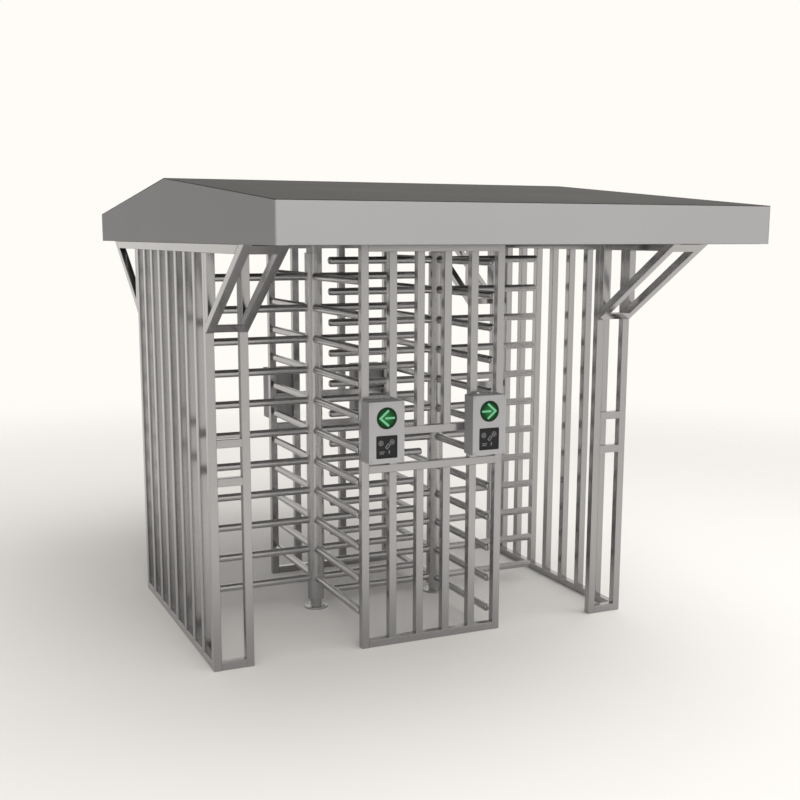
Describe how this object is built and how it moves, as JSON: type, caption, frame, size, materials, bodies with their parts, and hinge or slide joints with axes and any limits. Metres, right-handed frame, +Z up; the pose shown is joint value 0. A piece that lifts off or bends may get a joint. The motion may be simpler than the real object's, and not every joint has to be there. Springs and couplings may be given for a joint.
{
  "type": "full height turnstile",
  "caption": "Paired full height turnstile: meshing barred rotors between fixed grilles, with direction lamps and card readers, under a gabled canopy on inclined braces.",
  "frame": {"origin": "centre of the footprint on the floor, midway between the two rotor axes", "axes": "+X along the roof ridge from the left rotor to the right one, +Y from the front to the rear along the walkways, +Z up; the front with its control boxes faces -Y"},
  "size_m": [2.3, 3.472, 2.322],
  "materials": {
    "frame_steel": "satin steel tube",
    "rotor_steel": "satin round tube",
    "canopy_sheet": "smooth satin grey sheet",
    "canopy_top": "matt dark grey sheet",
    "box_enamel": "satin light grey enamel",
    "lamp_lens": "glossy dark green lens",
    "reader_case": "satin black plastic",
    "gear_steel": "oiled machined steel"
  },
  "bodies": {
    "frame": {"front_roof_slope": "canopy_top", "rear_roof_slope": "canopy_top", "front_fascia": "canopy_sheet", "rear_fascia": "canopy_sheet", "left_gable": "canopy_sheet", "right_gable": "canopy_sheet", "left_roof_truss": "frame_steel", "right_roof_truss": "frame_steel", "ridge_beam": "frame_steel", "front_header_beam": "frame_steel", "rear_header_beam": "frame_steel", "left_side_grille": "frame_steel", "right_side_grille": "frame_steel", "front_centre_panel": "frame_steel", "rear_centre_panel": "frame_steel", "front_left_jamb": "frame_steel", "front_left_brace": "frame_steel", "front_right_jamb": "frame_steel", "front_right_brace": "frame_steel", "rear_left_jamb": "frame_steel", "rear_left_brace": "frame_steel", "rear_right_jamb": "frame_steel", "rear_right_brace": "frame_steel", "front_left_box_housing": "box_enamel", "front_left_box_cover": "box_enamel", "front_left_direction_lamp": "lamp_lens", "front_left_card_reader": "reader_case", "front_right_box_housing": "box_enamel", "front_right_box_cover": "box_enamel", "front_right_direction_lamp": "lamp_lens", "front_right_card_reader": "reader_case", "rear_left_box_housing": "box_enamel", "rear_left_box_cover": "box_enamel", "rear_left_direction_lamp": "lamp_lens", "rear_left_card_reader": "reader_case", "rear_right_box_housing": "box_enamel", "rear_right_box_cover": "box_enamel", "rear_right_direction_lamp": "lamp_lens", "rear_right_card_reader": "reader_case", "left_head_bridge": "frame_steel", "left_top_bearing": "gear_steel", "left_floor_pedestal": "rotor_steel", "right_head_bridge": "frame_steel", "right_top_bearing": "gear_steel", "right_floor_pedestal": "rotor_steel"},
    "left_rotor": {"left_rotor_core": "rotor_steel", "left_wing_1": "rotor_steel", "left_wing_2": "rotor_steel", "left_wing_3": "rotor_steel", "left_wing_4": "rotor_steel", "left_index_wheel": "gear_steel"},
    "right_rotor": {"right_rotor_core": "rotor_steel", "right_wing_1": "rotor_steel", "right_wing_2": "rotor_steel", "right_wing_3": "rotor_steel", "right_wing_4": "rotor_steel", "right_index_wheel": "gear_steel"},
    "left_lock": {"left_lock_pawl": "gear_steel"},
    "right_lock": {"right_lock_pawl": "gear_steel"}
  },
  "joints": [
    {"name": "left_rotor_spin", "type": "hinge", "parent": "frame", "child": "left_rotor", "pos_m": [-0.366, 0, 1], "axis": [0, 0, 1], "continuous": true},
    {"name": "right_rotor_spin", "type": "hinge", "parent": "frame", "child": "right_rotor", "pos_m": [0.366, 0, 1], "axis": [0, 0, 1], "continuous": true},
    {"name": "left_lock_swing", "type": "hinge", "parent": "frame", "child": "left_lock", "pos_m": [-0.271, 0.084, 2.0516], "axis": [0, 0, 1], "range_deg": [0, 14]},
    {"name": "right_lock_swing", "type": "hinge", "parent": "frame", "child": "right_lock", "pos_m": [0.461, 0.084, 2.0516], "axis": [0, 0, 1], "range_deg": [0, 14]}
  ]
}
